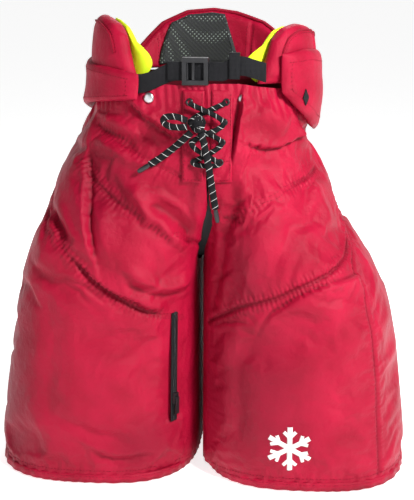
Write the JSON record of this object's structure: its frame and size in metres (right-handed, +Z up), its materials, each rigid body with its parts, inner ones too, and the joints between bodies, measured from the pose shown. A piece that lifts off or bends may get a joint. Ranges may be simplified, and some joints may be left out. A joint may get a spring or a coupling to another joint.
{
  "type": "ice hockey pants",
  "caption": "Padded ice hockey pants with laced fly, buckled belt, upright spine and kidney guards, and two stiff thigh-length legs with a zip inside the left leg.",
  "frame": {"origin": "middle of the bounding box at the floor, with the pants standing on both hems", "axes": "+Z up, -Y to the front where the fly is, +X to the wearer's left side, which is on the right seen from the front"},
  "size_m": [0.5172, 0.2774, 0.56],
  "materials": {
    "red_nylon": "plain-woven red nylon, slightly shiny, creased",
    "lining": "matt dark red lining cloth",
    "foam": "closed-cell foam, sealed inside the cover",
    "plate": "moulded polyethylene plate, sealed inside the cover",
    "black_webbing": "black woven webbing and cord",
    "black_mesh": "black spacer mesh with small pale dots",
    "neon_lining": "bright yellow-green lining cloth",
    "black_plastic": "moulded black plastic",
    "silver": "polished metal button"
  },
  "bodies": {
    "hips": {"hip_cover": "red_nylon", "hip_liner": "lining", "hip_pad_left": "foam", "hip_pad_right": "foam", "tailbone_pad": "foam", "crotch_gusset": "black_mesh", "fly_tongue": "lining", "fly_placket_left": "red_nylon", "fly_placket_right": "red_nylon", "eyelet_left_1": "black_plastic", "eyelet_left_2": "black_plastic", "eyelet_left_3": "black_plastic", "eyelet_left_4": "black_plastic", "eyelet_right_1": "black_plastic", "eyelet_right_2": "black_plastic", "eyelet_right_3": "black_plastic", "eyelet_right_4": "black_plastic", "lace_crossings": "black_webbing", "lace_knot": "black_webbing", "lace_bow_loop": "black_webbing", "lace_tail_left": "black_webbing", "lace_tip_left": "black_plastic", "lace_tail_centre": "black_webbing", "lace_tip_centre": "black_plastic", "belt_left": "black_webbing", "buckle_frame": "black_plastic", "buckle_bar": "black_plastic", "belt_pad_left": "red_nylon", "belt_pad_right": "red_nylon", "suspender_button_front_left": "silver", "suspender_button_front_right": "silver"},
    "belt_strap": {"belt_right": "black_webbing", "belt_keeper": "black_webbing"},
    "spine_guard": {"spine_pad": "red_nylon", "spine_mesh_panel": "black_mesh"},
    "kidney_guard_left": {"kidney_pad_left": "red_nylon", "kidney_lining_left": "neon_lining", "suspender_button_side_left": "silver"},
    "kidney_guard_right": {"kidney_pad_right": "red_nylon", "kidney_lining_right": "neon_lining", "suspender_button_side_right": "silver"},
    "leg_left": {"leg_cover_left": "red_nylon", "hem_band_left": "red_nylon", "leg_liner_left": "lining", "thigh_plate_left": "plate", "thigh_foam_left": "foam", "rear_pad_left": "foam", "zip_tape": "black_webbing"},
    "leg_right": {"leg_cover_right": "red_nylon", "hem_band_right": "red_nylon", "leg_liner_right": "lining", "thigh_plate_right": "plate", "thigh_foam_right": "foam", "rear_pad_right": "foam"},
    "zip_slider": {"zip_slider": "black_plastic"},
    "zip_pull": {"zip_pull": "black_plastic"}
  },
  "joints": [
    {"name": "leg_left_swing", "type": "hinge", "parent": "hips", "child": "leg_left", "pos_m": [-0.13, 0, 0.385], "axis": [-1, 0, 0], "range_deg": [0, 45], "stiffness_Nm_per_rad": 2, "springref_deg": -11.46},
    {"name": "leg_right_swing", "type": "hinge", "parent": "hips", "child": "leg_right", "pos_m": [0.13, 0, 0.385], "axis": [-1, 0, 0], "range_deg": [0, 45], "stiffness_Nm_per_rad": 2, "springref_deg": -11.46},
    {"name": "kidney_guard_left_flex", "type": "hinge", "parent": "hips", "child": "kidney_guard_left", "pos_m": [-0.128, 0, 0.508], "axis": [0, -1, 0], "range_deg": [0, 18], "stiffness_Nm_per_rad": 0.4, "springref_deg": -14.32},
    {"name": "kidney_guard_right_flex", "type": "hinge", "parent": "hips", "child": "kidney_guard_right", "pos_m": [0.128, 0, 0.508], "axis": [0, 1, 0], "range_deg": [0, 18], "stiffness_Nm_per_rad": 0.4, "springref_deg": -14.32},
    {"name": "spine_guard_flex", "type": "hinge", "parent": "hips", "child": "spine_guard", "pos_m": [0, 0.099, 0.487], "axis": [-1, 0, 0], "range_deg": [0, 20], "stiffness_Nm_per_rad": 0.6, "springref_deg": -14.32},
    {"name": "belt_tighten", "type": "slide", "parent": "hips", "child": "belt_strap", "axis": [-1, 0, 0], "range_m": [0, 0.018]},
    {"name": "zip_open", "type": "slide", "parent": "leg_left", "child": "zip_slider", "axis": [0.0155, 0.0011, 0.9999], "range_m": [0, 0.1]},
    {"name": "zip_pull_swing", "type": "hinge", "parent": "zip_slider", "child": "zip_pull", "pos_m": [-0.02359, -0.10272, 0.10613], "axis": [-0.5718, -0.8204, 0.0098], "range_deg": [0, 150]}
  ]
}
